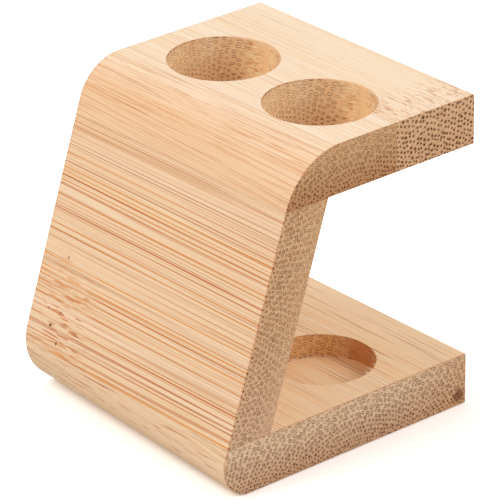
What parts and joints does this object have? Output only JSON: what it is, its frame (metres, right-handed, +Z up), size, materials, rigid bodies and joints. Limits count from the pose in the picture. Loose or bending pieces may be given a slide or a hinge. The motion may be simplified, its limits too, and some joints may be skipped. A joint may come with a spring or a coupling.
{
  "type": "toothbrush holder",
  "caption": "Small bamboo toothbrush holder: a leaning back wall joins a base with round pockets to a top with round holes above them, open at the front and sides.",
  "frame": {"origin": "centre of the overall box at its lowest face, on the surface that the holder stands on", "axes": "+X along the bamboo's grain, from one sawn end to the other; +Y from the leaning back wall to the open front; +Z up, along the brush holes"},
  "size_m": [0.0628, 0.0638, 0.0659],
  "materials": {
    "bamboo_dense_strip": "sanded bamboo, dense fibre, bare",
    "bamboo_top": "sanded bamboo, bare",
    "bamboo_wall": "sanded bamboo, bare, streaked",
    "bamboo_base": "sanded bamboo, bare",
    "hard_glue": "hardened glue, sanded flush"
  },
  "bodies": {
    "root": {"top_front_strip": "bamboo_dense_strip", "top_rear_strip": "bamboo_top", "back_wall": "bamboo_wall", "base_board": "bamboo_base", "top_seam_glue": "hard_glue", "upper_joint_glue": "hard_glue", "foot_joint_glue": "hard_glue"}
  },
  "joints": []
}
